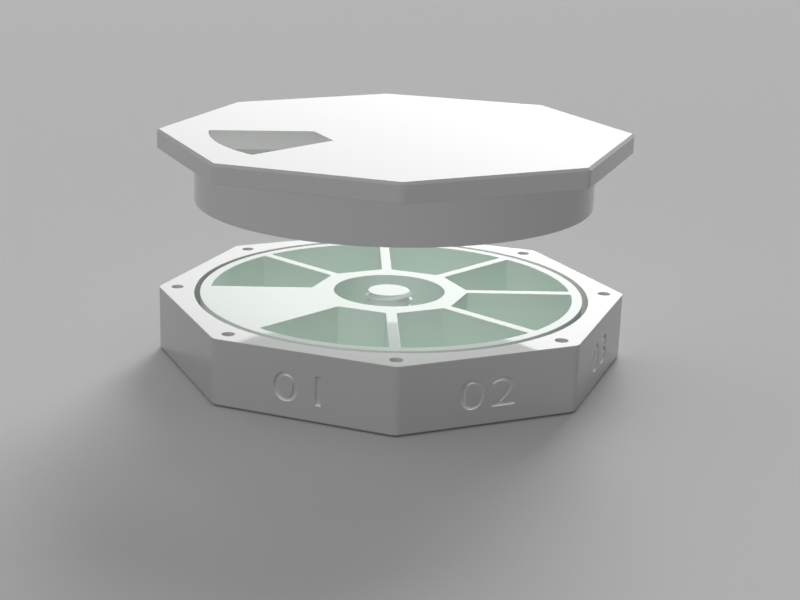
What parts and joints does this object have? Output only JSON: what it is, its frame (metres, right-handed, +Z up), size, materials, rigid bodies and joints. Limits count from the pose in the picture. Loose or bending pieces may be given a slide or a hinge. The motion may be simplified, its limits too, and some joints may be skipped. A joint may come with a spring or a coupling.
{
  "type": "pill case",
  "caption": "Octagonal pill case: a round tray of open cells in a flat base, under a lift-off turning lid with one sector-shaped window, a thin skirt and corner magnets.",
  "frame": {"origin": "centre of the base's underside, on the axis that the lid lifts and turns on", "axes": "+Z up along that axis, -Y towards the middle of the front side face; the closed sector of the tray and the lid's window both lie between -X and -Y"},
  "size_m": [0.0924, 0.0924, 0.0487],
  "materials": {
    "white_plastic": "gloss",
    "mint_plastic": "gloss",
    "nickel_plate": "satin nickel"
  },
  "bodies": {
    "base": {"base_shell": "white_plastic", "floor_mat": "mint_plastic", "cell_tray": "white_plastic", "pivot_post": "white_plastic", "base_magnet_1": "nickel_plate", "base_magnet_2": "nickel_plate", "base_magnet_3": "nickel_plate", "base_magnet_4": "nickel_plate", "base_magnet_5": "nickel_plate", "base_magnet_6": "nickel_plate", "base_magnet_7": "nickel_plate", "base_magnet_8": "nickel_plate"},
    "lid_pivot": {"lid_bushing": "white_plastic"},
    "lid": {"lid_shell": "white_plastic", "lid_magnet_1": "nickel_plate", "lid_magnet_2": "nickel_plate", "lid_magnet_3": "nickel_plate", "lid_magnet_4": "nickel_plate", "lid_magnet_5": "nickel_plate", "lid_magnet_6": "nickel_plate", "lid_magnet_7": "nickel_plate", "lid_magnet_8": "nickel_plate"}
  },
  "joints": [
    {"name": "lid_lift", "type": "slide", "parent": "base", "child": "lid_pivot", "axis": [0, 0, 1], "range_m": [-0.0304, 0.01]},
    {"name": "lid_turn", "type": "hinge", "parent": "lid_pivot", "child": "lid", "pos_m": [0, 0, 0.0447], "axis": [0, 0, 1], "continuous": true}
  ]
}
